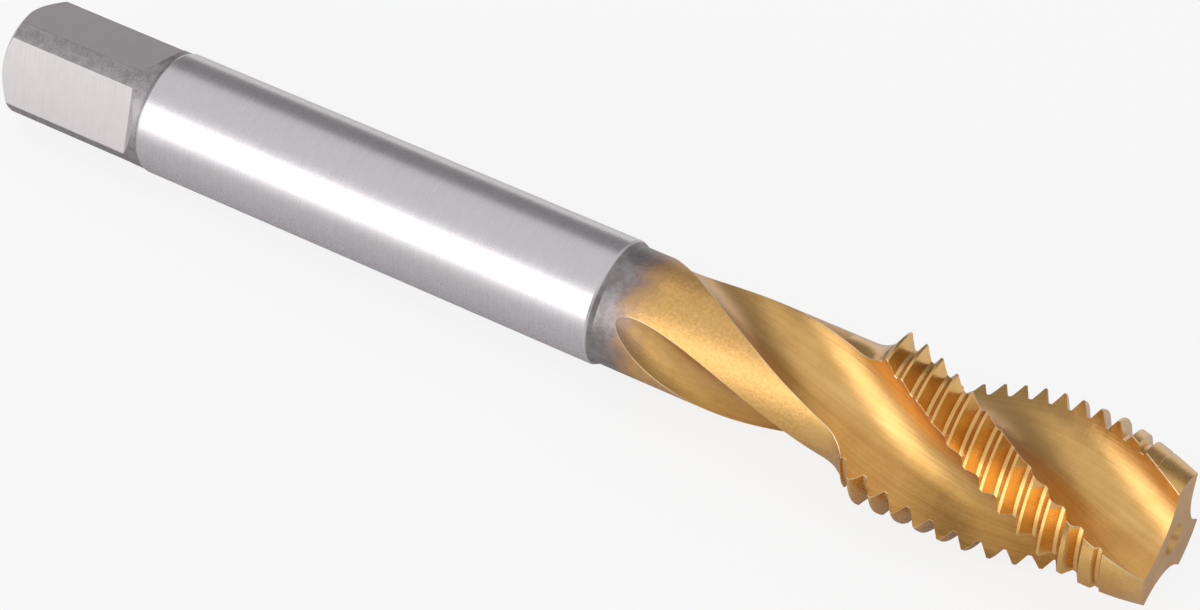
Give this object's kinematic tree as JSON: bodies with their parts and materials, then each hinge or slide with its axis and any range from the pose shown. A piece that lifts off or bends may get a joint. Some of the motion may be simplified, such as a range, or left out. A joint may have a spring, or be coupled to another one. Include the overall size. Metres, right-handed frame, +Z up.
{
  "type": "thread tap",
  "caption": "Spiral-fluted machine tap: a turned shank with a squared driving end and a necked, fluted cutting end that carries a tapered-off screw thread.",
  "frame": {"origin": "on the surface that the tap lies on, under the middle of its bounding box", "axes": "+X along the tap towards its cutting tip, +Z up, and +Y to the left when looking along +X; the tap's own axis is 1.291 degrees off +X, with the tip higher"},
  "size_m": [0.0902, 0.012, 0.0119],
  "materials": {
    "tap_steel": "ground high-speed steel on the shank and square; gold-coloured titanium nitride on the neck, flutes and thread"
  },
  "bodies": {
    "root": {"thread_tap": "tap_steel"}
  },
  "joints": []
}
